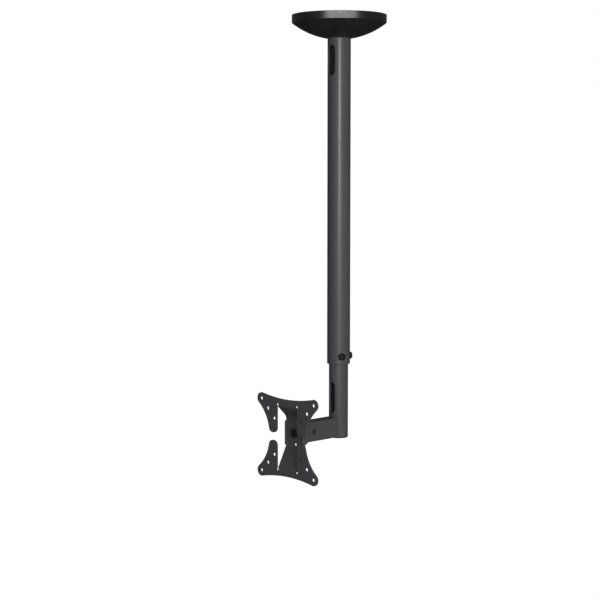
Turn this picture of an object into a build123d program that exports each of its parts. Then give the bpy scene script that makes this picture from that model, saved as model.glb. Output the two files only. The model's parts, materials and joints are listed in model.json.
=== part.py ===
from build123d import *
from math import cos, radians, sin, sqrt
import os

# Telescopic ceiling column with a short arm and a VESA head. Millimetres, +Z up.
# The origin is the centre of the ceiling plate's upper face, the tube stands on the Z axis,
# and the arm and the head reach out along -Y.

# Clearances
running_fit = 0.1
sliding_fit = 0.05
face_gap = 0.05
assembly_gap = 0.1

# Ceiling plate
ceiling_plate_t = 3
ceiling_hole_d = 7
ceiling_hole_inset = 14
ceiling_hole_count = 4
stub_wall = 3
stub_length = 30
tube_screw_d = 5
tube_screw_drop = 16
edge_break = 0.5

# Canopy
canopy_d = 130
canopy_rim_h = 10.5
canopy_depth = 31.5
canopy_wall = 2
canopy_ceiling_gap = 0.5
canopy_plate_gap = 7
canopy_neck_gap = 0.5
canopy_hub_h = 6
canopy_ring_t = 2.5
canopy_rim_round = 0.8

# Outer tube
outer_tube_d = 32
outer_tube_wall = 2
outer_tube_end = 480
outer_slot_w = 13
outer_slot_h = 41
outer_slot_drop = 62

# Inner tube
inner_tube_d = 26.7
inner_tube_wall = 2
inner_tube_top = 92
inner_tube_end = 582
inner_slot_w = 10
inner_slot_h = 42
inner_slot_drop = 526
plug_stem_h = 12
plug_flange_t = 1.5
plug_flange_inset = 0.4

# Glide rings and clamp screws
glide_ring_h = 30
glide_lip_t = 1.5
clamp_screw_d = 6
clamp_screw_rise = 11
clamp_screw_angles = (-30, 60)

# Arm
arm_w = 20
arm_h = 28
arm_wall = 2
arm_corner = 3
arm_length = 63.5

# Knuckle in the arm's end
knuckle_nose = 9
knuckle_round = 2.5
knuckle_slot_w = 10.6
knuckle_web_t = 3

# Tilt
tilt_limit = 20
tilt_inset = 5.5
tilt_bolt_d = 6
tilt_bolt_recess = 0.3
tilt_washer_t = 1.2
tilt_washer_d = 12.5
tilt_friction_t = 0.5
tilt_friction_d = 16
tongue_r = 8.5
tongue_gap = 1
tongue_root_h = 18
tongue_root_round = 2

# Web of the tilt bracket, behind the plate's pad
web_gap = 1.4
web_t = 4
web_w = 34
web_h = 30
web_corner = 4

# Pivot between the bracket and the plate
pivot_d = 8
pivot_thread_d = 6
pivot_thread_length = 9
pivot_head_d = 13
pivot_head_h = 2.2
pivot_head_chamfer = 0.5
pivot_socket_w = 4
pivot_socket_depth = 1.6
pivot_washer_d = 14
pivot_washer_t = 0.6
friction_washer_d = 28
friction_washer_t = 0.9

# Television plate, its heights measured from the centre of its square hole patterns
sheet_t = 2
vesa_large = 100
vesa_medium = 75
vesa_small = 50
vesa_hole_d = 5
ear_r = 8
top_edge_height = 52.7
waist_half_width = 34
slit_w = 1.8
slit_offset = 18.5
slit_reach = 44.5
slit_relief_d = 4
finger_gap = 10.7
finger_tip_r = 7
pivot_rise = 5.5
pad_depth = 16
pad_top = 27.5
pad_top_round = 12
pad_bottom = -12.5
pad_bottom_round = 4
bridge_top = 42.5
bridge_bottom = -43.5
bridge_round = 3
lip_h = 3
lip_top = 21.5
lip_round = 2
level_hole_d = 4.5
level_hole_drop = 15.5

# Proportions of the fasteners, as shares of the thread's diameter
button_head_r = 0.85
button_head_h = 0.55
button_round = 0.4
button_socket_r = 0.33
button_socket_depth = 0.35

# Worked out from the sizes above
outer_tube_r = outer_tube_d / 2
outer_bore_r = outer_tube_r - outer_tube_wall
inner_tube_r = inner_tube_d / 2
inner_bore_r = inner_tube_r - inner_tube_wall
stub_r = outer_bore_r - assembly_gap
stub_bore_r = stub_r - stub_wall
head_z = -inner_tube_end + arm_h / 2
canopy_r = canopy_d / 2
ceiling_plate_r = canopy_r - canopy_wall - canopy_plate_gap
ceiling_hole_ring_r = ceiling_plate_r - ceiling_hole_inset
neck_r = outer_tube_r + canopy_neck_gap
canopy_bottom = -canopy_ceiling_gap - canopy_depth
canopy_rim_z = -canopy_ceiling_gap - canopy_rim_h
hub_bore_r = outer_tube_r + canopy_ring_t
hub_r = hub_bore_r + canopy_wall
knuckle_end = arm_length + knuckle_nose
tilt_reach = arm_length - tilt_inset
slot_back = tilt_reach - tongue_r - tongue_gap
tongue_w = knuckle_slot_w - 2 * (tilt_friction_t + 2 * face_gap)
nose_corner = (knuckle_end - tilt_reach) * cos(radians(tilt_limit)) + arm_h / 2 * sin(radians(tilt_limit))
web_back = tilt_reach + nose_corner + web_gap
web_front = web_back + web_t
pad_back = web_front + friction_washer_t + face_gap
pad_front = pad_back + sheet_t
pad_mid = pad_back + sheet_t / 2
plate_back = pad_back + pad_depth
plate_mid = plate_back + sheet_t / 2
ear_offset = vesa_large / 2
bridge_w = 2 * slit_offset - slit_w


def facing(reach):
    """Plane across the arm's direction, looking out to the television."""
    return Plane(origin=(0, -reach, head_z), x_dir=(1, 0, 0), z_dir=(0, -1, 0))


def side_view():
    """Plane through the arm; its x is the reach from the tube's axis, its y the height."""
    return Plane(origin=(0, 0, head_z), x_dir=(0, -1, 0), z_dir=(-1, 0, 0))


def across(offset):
    """Plane at an offset along +X, looking along +X, centred on the tilt axis."""
    return Plane(origin=(offset, -tilt_reach, head_z), x_dir=(0, 1, 0), z_dir=(1, 0, 0))


def plate_view(reach):
    """Plane across the arm's direction, centred on the plate's square hole patterns."""
    return Plane(origin=(0, -reach, head_z - pivot_rise), x_dir=(1, 0, 0), z_dir=(0, -1, 0))


def plate_side():
    """Plane through the arm like the side view, at the height of the hole patterns' centre."""
    return Plane(origin=(0, 0, head_z - pivot_rise), x_dir=(0, -1, 0), z_dir=(-1, 0, 0))


def radial(angle, radius, height):
    """Plane that touches a tube's wall, looking out from the tube's axis."""
    turn = radians(angle)
    return Plane(
        origin=(radius * cos(turn), radius * sin(turn), height),
        x_dir=(-sin(turn), cos(turn), 0),
        z_dir=(cos(turn), sin(turn), 0),
    )


def flipped(plane):
    """The same plane, looking the other way."""
    return Plane(origin=plane.origin, x_dir=plane.x_dir, z_dir=-plane.z_dir)


def washer(seat, outer_d, inner_d, thickness):
    """Flat washer that lies on its seat plane."""
    with BuildPart() as ring:
        with BuildSketch(seat):
            Circle(outer_d / 2)
            Circle(inner_d / 2, mode=Mode.SUBTRACT)
        extrude(amount=thickness)
    return ring.part


def button_screw(seat, thread_d, length):
    """Button head socket screw; its head stands on the seat plane and its shank goes below."""
    with BuildPart() as screw:
        with BuildSketch(seat):
            Circle(button_head_r * thread_d)
        extrude(amount=button_head_h * thread_d)
        crown = screw.faces().sort_by(Axis(seat.origin, seat.z_dir))[-1]
        fillet(crown.edges(), radius=button_round * thread_d)
        with BuildSketch(seat.offset(button_head_h * thread_d)):
            RegularPolygon(radius=button_socket_r * thread_d, side_count=6, major_radius=False)
        extrude(amount=-button_socket_depth * thread_d, mode=Mode.SUBTRACT)
        with BuildSketch(seat):
            Circle(thread_d / 2)
        extrude(amount=-length)
    return screw.part


def save(piece, name):
    """Label a finished piece and write it to its own file."""
    piece.label = name
    export_step(piece, f"parts/{name}.step")


os.makedirs("parts", exist_ok=True)

# Ceiling plate with its stub for the outer tube
with BuildPart() as ceiling_plate:
    with BuildSketch(Plane.XY.offset(-ceiling_plate_t)):
        Circle(ceiling_plate_r)
        with PolarLocations(ceiling_hole_ring_r, ceiling_hole_count, start_angle=45):
            Circle(ceiling_hole_d / 2, mode=Mode.SUBTRACT)
    extrude(amount=ceiling_plate_t)
    lower_rim = ceiling_plate.edges().filter_by(GeomType.CIRCLE).sort_by(SortBy.RADIUS)[-2:]
    chamfer(lower_rim, length=edge_break)
    with BuildSketch(Plane.XY.offset(-ceiling_plate_t)):
        Circle(stub_r)
    extrude(amount=-stub_length)
    with BuildSketch(Plane.XY):
        Circle(stub_bore_r)
    extrude(amount=-ceiling_plate_t - stub_length, mode=Mode.SUBTRACT)
    with BuildSketch(Plane.YZ):
        with Locations((0, -tube_screw_drop)):
            Circle(tube_screw_d / 2)
    extrude(amount=outer_tube_r, both=True, mode=Mode.SUBTRACT)
save(ceiling_plate.part, "ceiling_plate")

# Screws that hold the outer tube on the stub
tube_screw_length = outer_tube_r - stub_bore_r
tube_screws = Compound(
    children=[
        button_screw(radial(angle, outer_tube_r, -tube_screw_drop), tube_screw_d, tube_screw_length)
        for angle in (0, 180)
    ]
)
save(tube_screws, "tube_screws")

# Canopy: a rim and a shallow dome about the tube, with a hub for the rubber ring
dome_centre_z = (
    neck_r**2 - canopy_r**2 + canopy_bottom**2 - canopy_rim_z**2
) / (2 * (canopy_bottom - canopy_rim_z))
dome_r = sqrt(canopy_r**2 + (dome_centre_z - canopy_rim_z) ** 2)
shell_r = dome_r - canopy_wall
shell_rim_r = canopy_r - canopy_wall
shell_rim_z = dome_centre_z - sqrt(shell_r**2 - shell_rim_r**2)
with BuildPart() as canopy:
    with BuildSketch(Plane.XZ) as canopy_profile:
        with BuildLine():
            rim = Polyline(
                (0, -canopy_ceiling_gap), (canopy_r, -canopy_ceiling_gap), (canopy_r, canopy_rim_z)
            )
            dome = RadiusArc(rim @ 1, (0, dome_centre_z - dome_r), dome_r)
            Line(dome @ 1, rim @ 0)
        make_face()
        rim_corner = canopy_profile.vertices().group_by(Axis.X)[-1].sort_by(Axis.Y)[0]
        fillet(rim_corner, radius=canopy_rim_round)
    revolve(axis=Axis.Z)
    with BuildSketch(Plane.XZ):
        with BuildLine():
            inner_rim = Polyline((0, 0), (shell_rim_r, 0), (shell_rim_r, shell_rim_z))
            inner_dome = RadiusArc(inner_rim @ 1, (0, dome_centre_z - shell_r), shell_r)
            Line(inner_dome @ 1, inner_rim @ 0)
        make_face()
    revolve(axis=Axis.Z, mode=Mode.SUBTRACT)
    with BuildSketch(Plane.XY.offset(canopy_bottom + canopy_wall)):
        Circle(hub_r)
    extrude(amount=canopy_hub_h)
    with BuildSketch(Plane.XY.offset(canopy_bottom + canopy_wall)):
        Circle(hub_bore_r)
    extrude(amount=canopy_hub_h, mode=Mode.SUBTRACT)
    with BuildSketch(Plane.XY.offset(canopy_bottom - canopy_wall)):
        Circle(neck_r)
    extrude(amount=canopy_depth, mode=Mode.SUBTRACT)
save(canopy.part, "canopy")

# Rubber ring that grips the tube inside the canopy's hub
with BuildPart() as canopy_ring:
    with BuildSketch(Plane.XY.offset(canopy_bottom + canopy_wall)):
        Circle(hub_bore_r)
        Circle(outer_tube_r + running_fit, mode=Mode.SUBTRACT)
    extrude(amount=canopy_hub_h)
    with BuildSketch(Plane.XY.offset(canopy_bottom + canopy_wall + canopy_hub_h)):
        Circle(hub_r)
        Circle(outer_tube_r + running_fit, mode=Mode.SUBTRACT)
    extrude(amount=canopy_wall)
save(canopy_ring.part, "canopy_ring")

# Outer tube with its cable slot
with BuildPart() as outer_tube:
    with BuildSketch(Plane.XY.offset(-outer_tube_end)):
        Circle(outer_tube_r)
        Circle(outer_bore_r, mode=Mode.SUBTRACT)
    extrude(amount=outer_tube_end - ceiling_plate_t)
    chamfer(outer_tube.faces().sort_by(Axis.Z)[0].edges(), length=edge_break)
    with BuildSketch(Plane.XZ):
        with Locations((0, -outer_slot_drop)):
            SlotOverall(outer_slot_h, outer_slot_w, rotation=90)
    extrude(amount=outer_tube_d, mode=Mode.SUBTRACT)
    with BuildSketch(Plane.YZ):
        with Locations((0, -tube_screw_drop)):
            Circle(tube_screw_d / 2)
    extrude(amount=outer_tube_d, both=True, mode=Mode.SUBTRACT)
    for clamp_angle in clamp_screw_angles:
        with BuildSketch(radial(clamp_angle, 0, clamp_screw_rise - outer_tube_end)):
            Circle(clamp_screw_d / 2)
        extrude(amount=outer_tube_d, mode=Mode.SUBTRACT)
save(outer_tube.part, "outer_tube")

# Glide ring in the lower end of the outer tube
with BuildPart() as lower_glide_ring:
    with BuildSketch(Plane.XY.offset(-outer_tube_end + edge_break)):
        Circle(outer_bore_r)
        Circle(inner_tube_r + sliding_fit, mode=Mode.SUBTRACT)
    extrude(amount=glide_ring_h)
    for clamp_angle in clamp_screw_angles:
        with BuildSketch(radial(clamp_angle, 0, clamp_screw_rise - outer_tube_end)):
            Circle(clamp_screw_d / 2 + running_fit)
        extrude(amount=outer_tube_d, mode=Mode.SUBTRACT)
save(lower_glide_ring.part, "lower_glide_ring")

# Clamp screws, which bear on the inner tube
clamp_screw_length = outer_tube_r - inner_tube_r - assembly_gap
clamp_screws = Compound(
    children=[
        button_screw(
            radial(angle, outer_tube_r, clamp_screw_rise - outer_tube_end),
            clamp_screw_d,
            clamp_screw_length,
        )
        for angle in clamp_screw_angles
    ]
)
save(clamp_screws, "clamp_screws")

# Glide ring on the top end of the inner tube, with a lip over the tube's edge
with BuildPart() as upper_glide_ring:
    with BuildSketch(Plane.XY.offset(-inner_tube_top - glide_ring_h)):
        Circle(outer_bore_r - sliding_fit)
        Circle(inner_tube_r + sliding_fit, mode=Mode.SUBTRACT)
    extrude(amount=glide_ring_h)
    with BuildSketch(Plane.XY.offset(-inner_tube_top + face_gap)):
        Circle(outer_bore_r - sliding_fit)
        Circle(inner_bore_r, mode=Mode.SUBTRACT)
    extrude(amount=glide_lip_t)
    with BuildSketch(Plane.XY.offset(-inner_tube_top)):
        Circle(outer_bore_r - sliding_fit)
        Circle(inner_tube_r + sliding_fit, mode=Mode.SUBTRACT)
    extrude(amount=glide_lip_t)
save(upper_glide_ring.part, "upper_glide_ring")

# Inner tube with its cable slot
with BuildPart() as inner_tube:
    with BuildSketch(Plane.XY.offset(-inner_tube_end)):
        Circle(inner_tube_r)
        Circle(inner_bore_r, mode=Mode.SUBTRACT)
    extrude(amount=inner_tube_end - inner_tube_top)
    with BuildSketch(Plane.XZ):
        with Locations((0, -inner_slot_drop)):
            SlotOverall(inner_slot_h, inner_slot_w, rotation=90)
    extrude(amount=inner_tube_d, mode=Mode.SUBTRACT)
save(inner_tube.part, "inner_tube")

# Plug in the lower end of the inner tube
with BuildPart() as tube_end_plug:
    with BuildSketch(Plane.XY.offset(-inner_tube_end)):
        Circle(inner_tube_r - plug_flange_inset)
    extrude(amount=-plug_flange_t)
    fillet(tube_end_plug.faces().sort_by(Axis.Z)[0].edges(), radius=plug_flange_t / 2)
    with BuildSketch(Plane.XY.offset(-inner_tube_end)):
        Circle(inner_bore_r - assembly_gap)
    extrude(amount=plug_stem_h)
save(tube_end_plug.part, "tube_end_plug")

# Arm: a rectangular tube, coped to the inner tube
with BuildPart() as arm:
    with BuildSketch(facing(0)):
        RectangleRounded(arm_w, arm_h, arm_corner)
        RectangleRounded(
            arm_w - 2 * arm_wall, arm_h - 2 * arm_wall, arm_corner - arm_wall, mode=Mode.SUBTRACT
        )
    extrude(amount=arm_length)
    with BuildSketch(Plane.XY.offset(head_z - arm_h)):
        Circle(inner_tube_r)
    extrude(amount=2 * arm_h, mode=Mode.SUBTRACT)
    with BuildSketch(across(0)):
        Circle(tilt_bolt_d / 2 + running_fit)
    extrude(amount=arm_w, both=True, mode=Mode.SUBTRACT)
save(arm.part, "arm")

# Knuckle: a plug in the arm's end with a rounded nose, slotted for the tongue of the tilt bracket
with BuildPart() as arm_knuckle:
    with BuildSketch(facing(slot_back - knuckle_web_t)):
        RectangleRounded(
            arm_w - 2 * arm_wall - 2 * assembly_gap,
            arm_h - 2 * arm_wall - 2 * assembly_gap,
            arm_corner - arm_wall,
        )
    extrude(amount=arm_length - slot_back + knuckle_web_t)
    with BuildSketch(facing(arm_length)):
        RectangleRounded(arm_w, arm_h, arm_corner)
    extrude(amount=knuckle_nose)
    fillet(arm_knuckle.faces().sort_by(Axis.Y)[0].edges(), radius=knuckle_round)
    with BuildSketch(facing(slot_back)):
        Rectangle(knuckle_slot_w, 2 * arm_h)
    extrude(amount=knuckle_end - slot_back, mode=Mode.SUBTRACT)
    with BuildSketch(across(0)):
        Circle(tilt_bolt_d / 2)
    extrude(amount=arm_w, mode=Mode.SUBTRACT)
    with BuildSketch(across(0)):
        Circle(tilt_bolt_d / 2 + running_fit)
    extrude(amount=-arm_w, mode=Mode.SUBTRACT)
save(arm_knuckle.part, "arm_knuckle")

# Tilt bracket: a cast web with a tongue that turns in the knuckle's slot
with BuildPart() as tilt_bracket:
    with BuildSketch(facing(web_back)):
        RectangleRounded(web_w, web_h, web_corner)
    extrude(amount=web_t)
    with BuildSketch(side_view()):
        with Locations((tilt_reach, 0)):
            Circle(tongue_r)
        with Locations((web_back, 0)):
            Rectangle(web_t, tongue_root_h)
        make_hull()
    extrude(amount=tongue_w / 2, both=True)
    roots = tilt_bracket.edges().filter_by(Axis.Z).filter_by_position(Axis.Y, -web_back, -web_back)
    fillet(roots.sort_by(Axis.X)[1:-1], radius=tongue_root_round)
    with BuildSketch(across(0)):
        Circle(tilt_bolt_d / 2 + running_fit)
    extrude(amount=web_w, both=True, mode=Mode.SUBTRACT)
    with BuildSketch(facing(web_front)):
        Circle(pivot_thread_d / 2)
    extrude(amount=-pivot_thread_length, mode=Mode.SUBTRACT)
save(tilt_bracket.part, "tilt_bracket")

# Tilt bolt, which comes from the far side and ends flush in the near cheek, and its washers
tilt_seat = arm_w / 2 + tilt_washer_t
tilt_hole_d = tilt_bolt_d + 2 * running_fit
tilt_bolt = button_screw(
    flipped(across(-tilt_seat)), tilt_bolt_d, tilt_seat + arm_w / 2 - tilt_bolt_recess
)
save(tilt_bolt, "tilt_bolt")
tilt_washer = washer(flipped(across(-arm_w / 2)), tilt_washer_d, tilt_hole_d, tilt_washer_t)
save(tilt_washer, "tilt_washer")
tongue_seat = tongue_w / 2 + face_gap
tilt_friction_washers = Compound(
    children=[
        washer(across(tongue_seat), tilt_friction_d, tilt_hole_d, tilt_friction_t),
        washer(flipped(across(-tongue_seat)), tilt_friction_d, tilt_hole_d, tilt_friction_t),
    ]
)
save(tilt_friction_washers, "tilt_friction_washers")

# Television plate: pressed sheet with four ears, four fingers and a bridge pressed back
top_gap = top_edge_height - ear_offset
top_arc_r = (ear_offset**2 + top_gap**2 - ear_r**2) / (2 * (ear_r - top_gap))
side_gap = waist_half_width - ear_offset
side_arc_r = (ear_offset**2 + side_gap**2 - ear_r**2) / (2 * (ear_r - side_gap))
top_share = ear_r / (ear_r + top_arc_r)
side_share = ear_r / (ear_r + side_arc_r)
top_joint = (ear_offset - ear_offset * top_share, ear_offset + (top_gap + top_arc_r) * top_share)
side_joint = (ear_offset + (side_gap + side_arc_r) * side_share, ear_offset - ear_offset * side_share)
with BuildPart() as vesa_plate:
    with BuildSketch(plate_view(plate_back)) as plate_outline:
        with BuildLine():
            RadiusArc((0, top_edge_height), top_joint, -top_arc_r)
            RadiusArc(top_joint, side_joint, ear_r)
            RadiusArc(side_joint, (waist_half_width, 0), -side_arc_r)
            mirror(about=Plane.XZ)
            mirror(about=Plane.YZ)
        make_face()
        Rectangle(2 * slit_offset + slit_w, 2 * slit_reach, mode=Mode.SUBTRACT)
        Rectangle(2 * ear_offset, finger_gap, mode=Mode.SUBTRACT)
        tips = [v for v in plate_outline.vertices() if abs(abs(v.Y) - finger_gap / 2) < 0.01]
        fillet(tips, radius=finger_tip_r)
        for pattern in (vesa_large, vesa_medium, vesa_small):
            with GridLocations(pattern, pattern, 2, 2):
                Circle(vesa_hole_d / 2, mode=Mode.SUBTRACT)
    extrude(amount=sheet_t)
    with BuildSketch(plate_side()):
        with BuildLine():
            FilletPolyline(
                (plate_mid, bridge_top + ear_r),
                (plate_mid, bridge_top),
                (pad_mid, pad_top),
                (pad_mid, pad_bottom),
                (plate_mid, bridge_bottom),
                (plate_mid, bridge_bottom - ear_r),
                radius=[bridge_round, pad_top_round, pad_bottom_round, bridge_round],
            )
        trace(line_width=sheet_t)
    extrude(amount=bridge_w / 2, both=True)
    with BuildSketch(
        plate_side().offset(bridge_w / 2), plate_side().offset(sheet_t - bridge_w / 2)
    ) as lip_outline:
        with Locations((pad_mid, pad_bottom)):
            Rectangle(sheet_t / 2 + lip_h, lip_top - pad_bottom, align=(Align.MIN, Align.MIN))
        fillet(lip_outline.vertices().group_by(Axis.X)[-1], radius=lip_round)
    extrude(amount=-sheet_t)
    with BuildSketch(plate_view(plate_back)):
        with GridLocations(2 * slit_offset, 2 * slit_reach, 2, 2):
            Circle(slit_relief_d / 2)
    extrude(amount=sheet_t, mode=Mode.SUBTRACT)
    with BuildSketch(facing(pad_back)):
        Circle(pivot_d / 2 + running_fit)
        with Locations((0, -level_hole_drop)):
            Circle(level_hole_d / 2)
    extrude(amount=sheet_t, mode=Mode.SUBTRACT)
save(vesa_plate.part, "vesa_plate")

# Friction washer behind the pad, thin washer in front of it
pivot_hole_d = pivot_d + 2 * running_fit
friction_washer = washer(facing(web_front), friction_washer_d, pivot_hole_d, friction_washer_t)
save(friction_washer, "friction_washer")
pivot_washer = washer(facing(pad_front + face_gap), pivot_washer_d, pivot_hole_d, pivot_washer_t)
save(pivot_washer, "pivot_washer")

# Pivot screw: a low head and a shoulder for the plate to turn on, threaded in the bracket
head_seat = pad_front + face_gap + pivot_washer_t
with BuildPart() as pivot_screw:
    with BuildSketch(facing(head_seat)):
        Circle(pivot_head_d / 2)
    extrude(amount=pivot_head_h)
    chamfer(pivot_screw.faces().sort_by(Axis.Y)[0].edges(), length=pivot_head_chamfer)
    with BuildSketch(facing(head_seat + pivot_head_h)):
        RegularPolygon(radius=pivot_socket_w / 2, side_count=6, major_radius=False)
    extrude(amount=-pivot_socket_depth, mode=Mode.SUBTRACT)
    with BuildSketch(facing(web_front)):
        Circle(pivot_d / 2)
    extrude(amount=head_seat - web_front)
    with BuildSketch(facing(web_front)):
        Circle(pivot_thread_d / 2)
    extrude(amount=-pivot_thread_length)
save(pivot_screw.part, "pivot_screw")
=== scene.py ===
import json
from math import cos, radians, sin

import bpy
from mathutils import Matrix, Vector

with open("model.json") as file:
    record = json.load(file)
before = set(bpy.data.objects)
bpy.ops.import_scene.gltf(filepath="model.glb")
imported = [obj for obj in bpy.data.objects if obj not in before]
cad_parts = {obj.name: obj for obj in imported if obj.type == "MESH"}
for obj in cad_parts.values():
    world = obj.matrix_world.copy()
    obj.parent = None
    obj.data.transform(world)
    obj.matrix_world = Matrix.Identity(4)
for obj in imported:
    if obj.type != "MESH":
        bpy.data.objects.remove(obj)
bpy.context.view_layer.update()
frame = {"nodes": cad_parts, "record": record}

# Camera: the photograph's view, from the right of the head and a little below the canopy.
camera_azimuth = 45.18
camera_pitch = 4.78
camera_distance = 2.084
camera_lens = 90.0
camera_sensor = 36.0
aim_side = -0.0537
aim_height = -0.3914

# Floor, far below as under a real ceiling. It is white far off and dimmer under the column,
# where its own grey shows the shadow.
floor_height = -2.4
floor_size = 40.0
floor_grey = 0.12
floor_roughness = 0.9
floor_seen = 0.9
floor_near = 3.2
floor_far = 5.0
floor_mirrored = 0.02

# World: how much of its white the black pieces mirror, and its grey light on them.
world_mirrored = 0.1
ambient_grey = 0.1

# Most of a noise texture's values lie between these two.
noise_low = 0.3
noise_high = 0.7

# Pieces that mirror the strip lamp and the rim lamp
tubes = ("outer_tube", "inner_tube")
dish = ("canopy",)


def beside(azimuth, distance, height):
    """A place round the column: 0 degrees is before the television plate, 90 the right side."""
    turn = radians(azimuth)
    return Vector((distance * sin(turn), -distance * cos(turn), height))


def look_from(place, aim, item):
    """Put a lamp or camera at a place, turned to its aim."""
    item.location = place
    item.rotation_euler = (aim - place).to_track_quat("-Z", "Y").to_euler()


def add_item(name, data):
    """Link new object data into the scene."""
    item = bpy.data.objects.new(name, data)
    bpy.context.scene.collection.objects.link(item)
    return item


def softbox(name, azimuth, distance, height, aim_z, width, tall, watts, glossy=True, only=()):
    """A rectangular studio lamp that looks at the column's axis.

    One that isn't glossy stays out of reflections. One with a list of nodes shows only in their
    reflections.
    """
    lamp = bpy.data.lights.new(name, "AREA")
    lamp.shape = "RECTANGLE"
    lamp.size = width
    lamp.size_y = tall
    lamp.energy = watts
    item = add_item(name, lamp)
    item.visible_glossy = glossy
    look_from(beside(azimuth, distance, height), Vector((0, 0, aim_z)), item)
    if only:
        item.visible_diffuse = False
        lit = bpy.data.collections.new(name)
        for node in only:
            lit.objects.link(frame["nodes"][node])
        item.light_linking.receiver_collection = lit


class Finish:
    """A Principled material whose colour, roughness and relief come from noise in the piece."""

    def __init__(self, name):
        self.name = name
        self.material = bpy.data.materials.new(name)
        self.material.use_nodes = True
        self.tree = self.material.node_tree
        self.shader = self.tree.nodes["Principled BSDF"]
        self.place = self.tree.nodes.new("ShaderNodeTexCoord").outputs["Object"]
        self.normal = None

    def set(self, **values):
        """Give the shader's own sockets their values."""
        for socket, value in values.items():
            self.shader.inputs[socket.replace("_", " ")].default_value = value
        return self

    def noise(self, size, detail=2.0, stretch=(1, 1, 1)):
        """Noise whose features are about this many metres long."""
        mapping = self.tree.nodes.new("ShaderNodeMapping")
        mapping.inputs["Scale"].default_value = stretch
        self.tree.links.new(self.place, mapping.inputs["Vector"])
        texture = self.tree.nodes.new("ShaderNodeTexNoise")
        texture.inputs["Scale"].default_value = 1 / size
        texture.inputs["Detail"].default_value = detail
        self.tree.links.new(mapping.outputs["Vector"], texture.inputs["Vector"])
        return texture.outputs["Fac"]

    def colours(self, dark, light, size, detail=3.0):
        """Let the colour wander between two tones."""
        mix = self.tree.nodes.new("ShaderNodeMix")
        mix.data_type = "RGBA"
        mix.inputs["A"].default_value = (*dark, 1)
        mix.inputs["B"].default_value = (*light, 1)
        self.tree.links.new(self.noise(size, detail), mix.inputs["Factor"])
        self.tree.links.new(mix.outputs["Result"], self.shader.inputs["Base Color"])
        return self

    def sheen(self, smooth, rough, size, detail=3.0):
        """Let the roughness wander between two values."""
        spread = self.tree.nodes.new("ShaderNodeMapRange")
        spread.inputs["From Min"].default_value = noise_low
        spread.inputs["From Max"].default_value = noise_high
        spread.inputs["To Min"].default_value = smooth
        spread.inputs["To Max"].default_value = rough
        self.tree.links.new(self.noise(size, detail), spread.inputs["Value"])
        self.tree.links.new(spread.outputs["Result"], self.shader.inputs["Roughness"])
        return self

    def relief(self, size, height, strength, detail=2.0, stretch=(1, 1, 1)):
        """Lay a relief of this size and height, in metres, over the ones before."""
        bump = self.tree.nodes.new("ShaderNodeBump")
        bump.inputs["Strength"].default_value = strength
        bump.inputs["Distance"].default_value = height
        self.tree.links.new(self.noise(size, detail, stretch), bump.inputs["Height"])
        if self.normal:
            self.tree.links.new(self.normal, bump.inputs["Normal"])
        self.normal = bump.outputs["Normal"]
        self.tree.links.new(self.normal, self.shader.inputs["Normal"])
        return self


def level_by_ray(tree, seen, mirrored, cast):
    """Levels for camera and transmission rays, for glossy rays, and for the light that is cast."""
    path = tree.nodes.new("ShaderNodeLightPath")
    shares = {"Is Camera Ray": seen, "Is Transmission Ray": seen, "Is Glossy Ray": mirrored}
    level = None
    for ray, share in shares.items():
        step = tree.nodes.new("ShaderNodeMath")
        step.operation = "MULTIPLY_ADD"
        step.inputs[1].default_value = share - cast
        step.inputs[2].default_value = cast
        tree.links.new(path.outputs[ray], step.inputs[0])
        if level:
            tree.links.new(level, step.inputs[2])
        level = step.outputs["Value"]
    return level


powder_coat = (
    Finish("black_powder_coat")
    .set(Specular_IOR_Level=0.15)
    .colours((0.050, 0.050, 0.054), (0.060, 0.060, 0.065), size=0.02)
    .sheen(0.31, 0.37, size=0.006)
    .relief(size=0.0016, height=0.00008, strength=0.35)
    .relief(size=0.0005, height=0.00003, strength=0.3)
)
moulded_plastic = (
    Finish("black_moulded_plastic")
    .set(Specular_IOR_Level=0.7)
    .colours((0.006, 0.006, 0.0065), (0.009, 0.009, 0.0095), size=0.03)
    .sheen(0.29, 0.35, size=0.01)
    .relief(size=0.0006, height=0.00004, strength=0.4)
)
rubber = (
    Finish("black_rubber")
    .set(Specular_IOR_Level=0.3)
    .colours((0.016, 0.016, 0.016), (0.024, 0.024, 0.024), size=0.008)
    .sheen(0.75, 0.9, size=0.004)
    .relief(size=0.0008, height=0.00006, strength=0.5)
)
nylon = (
    Finish("grey_nylon")
    .set(Specular_IOR_Level=0.45)
    .colours((0.085, 0.085, 0.09), (0.11, 0.11, 0.115), size=0.006)
    .sheen(0.4, 0.5, size=0.003)
    .relief(size=0.0004, height=0.00002, strength=0.3)
)
blackened_steel = (
    Finish("blackened_steel")
    .set(Specular_IOR_Level=0.35)
    .colours((0.009, 0.009, 0.0095), (0.015, 0.015, 0.016), size=0.003)
    .sheen(0.3, 0.42, size=0.002)
    .relief(size=0.0007, height=0.00002, strength=0.3, stretch=(1, 1, 4))
)
finishes = (powder_coat, moulded_plastic, rubber, nylon, blackened_steel)
materials = {finish.name: finish.material for finish in finishes}

for part in frame["record"]["subparts"]:
    for slot in frame["nodes"][part["node"]].material_slots:
        slot.material = materials[part["material_slot"]]

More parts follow.
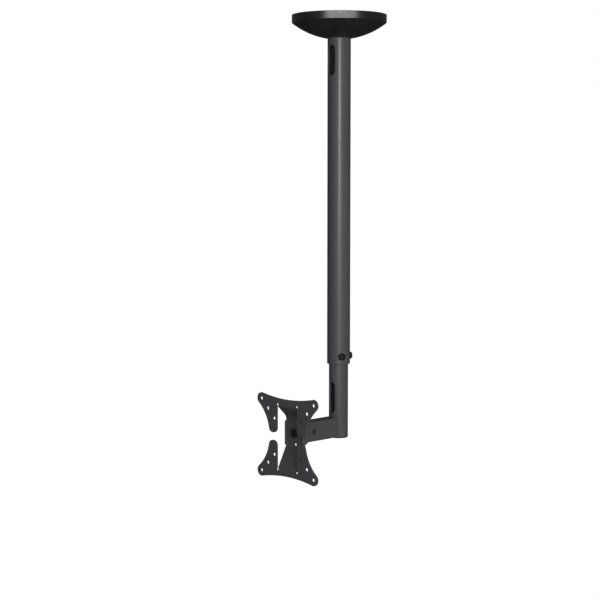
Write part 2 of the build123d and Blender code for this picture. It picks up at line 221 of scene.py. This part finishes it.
# Floor
corner = floor_size / 2
floor_mesh = bpy.data.meshes.new("floor")
floor_mesh.from_pydata(
    [
        (-corner, -corner, floor_height),
        (corner, -corner, floor_height),
        (corner, corner, floor_height),
        (-corner, corner, floor_height),
    ],
    [],
    [(0, 1, 2, 3)],
)
floor = add_item("floor", floor_mesh)
floor_finish = bpy.data.materials.new("pale_floor")
floor_finish.use_nodes = True
floor_tree = floor_finish.node_tree
floor_shader = floor_tree.nodes["Principled BSDF"]
floor_shader.inputs["Base Color"].default_value = (floor_grey, floor_grey, floor_grey, 1)
floor_shader.inputs["Roughness"].default_value = floor_roughness
floor_shader.inputs["Specular IOR Level"].default_value = 0.0
floor_shader.inputs["Emission Color"].default_value = (1, 1, 1, 1)
floor_place = floor_tree.nodes.new("ShaderNodeTexCoord").outputs["Object"]
away = floor_tree.nodes.new("ShaderNodeVectorMath")
away.operation = "LENGTH"
floor_tree.links.new(floor_place, away.inputs[0])
dimming = floor_tree.nodes.new("ShaderNodeMapRange")
dimming.inputs["From Min"].default_value = floor_near
dimming.inputs["From Max"].default_value = floor_far
dimming.inputs["To Min"].default_value = floor_seen
dimming.inputs["To Max"].default_value = 1.0
floor_tree.links.new(away.outputs["Value"], dimming.inputs["Value"])
white = floor_tree.nodes.new("ShaderNodeMath")
white.operation = "MULTIPLY"
floor_tree.links.new(level_by_ray(floor_tree, 1.0, floor_mirrored, 0.0), white.inputs[0])
floor_tree.links.new(dimming.outputs["Result"], white.inputs[1])
floor_tree.links.new(white.outputs["Value"], floor_shader.inputs["Emission Strength"])
floor_mesh.materials.append(floor_finish)

# World: white where it is seen, a plain grey light on the pieces
world = bpy.data.worlds.new("studio")
bpy.context.scene.world = world
world.use_nodes = True
background = world.node_tree.nodes["Background"]
background.inputs["Color"].default_value = (1, 1, 1, 1)
world_level = level_by_ray(world.node_tree, 1.0, world_mirrored, ambient_grey)
world.node_tree.links.new(world_level, background.inputs["Strength"])

# Lamps that light the pieces and stay out of reflections
softbox(
    "key_lamp",
    azimuth=44, distance=2.2, height=-0.2, aim_z=-0.4, width=3.2, tall=1.0, watts=48, glossy=False,
)
softbox(
    "fill_lamp",
    azimuth=75, distance=2.2, height=-0.3, aim_z=-0.5, width=1.4, tall=0.8, watts=30, glossy=False,
)
softbox(
    "back_lamp",
    azimuth=228, distance=2.4, height=-0.7, aim_z=-0.3, width=2.6, tall=1.2, watts=55, glossy=False,
)

# Lamps that show only in reflections, as the stripe on the tubes and the patch on the canopy's rim
softbox(
    "strip_lamp",
    azimuth=49, distance=2.6, height=0, aim_z=-0.1, width=0.16, tall=0.2, watts=66, only=tubes,
)
softbox(
    "rim_lamp",
    azimuth=48, distance=2.2, height=0.36, aim_z=0, width=3.2, tall=0.4, watts=46, only=dish,
)

# Camera
turn = radians(camera_azimuth)
pitch = radians(camera_pitch)
aim = Vector((cos(turn) * aim_side, sin(turn) * aim_side, aim_height))
forward = Vector((-sin(turn) * cos(pitch), cos(turn) * cos(pitch), -sin(pitch)))
camera = add_item("camera", bpy.data.cameras.new("camera"))
camera.data.sensor_width = camera_sensor
camera.data.lens = camera_lens
look_from(aim - forward * camera_distance, aim, camera)
bpy.context.scene.camera = camera

bpy.context.scene.view_settings.view_transform = "Standard"
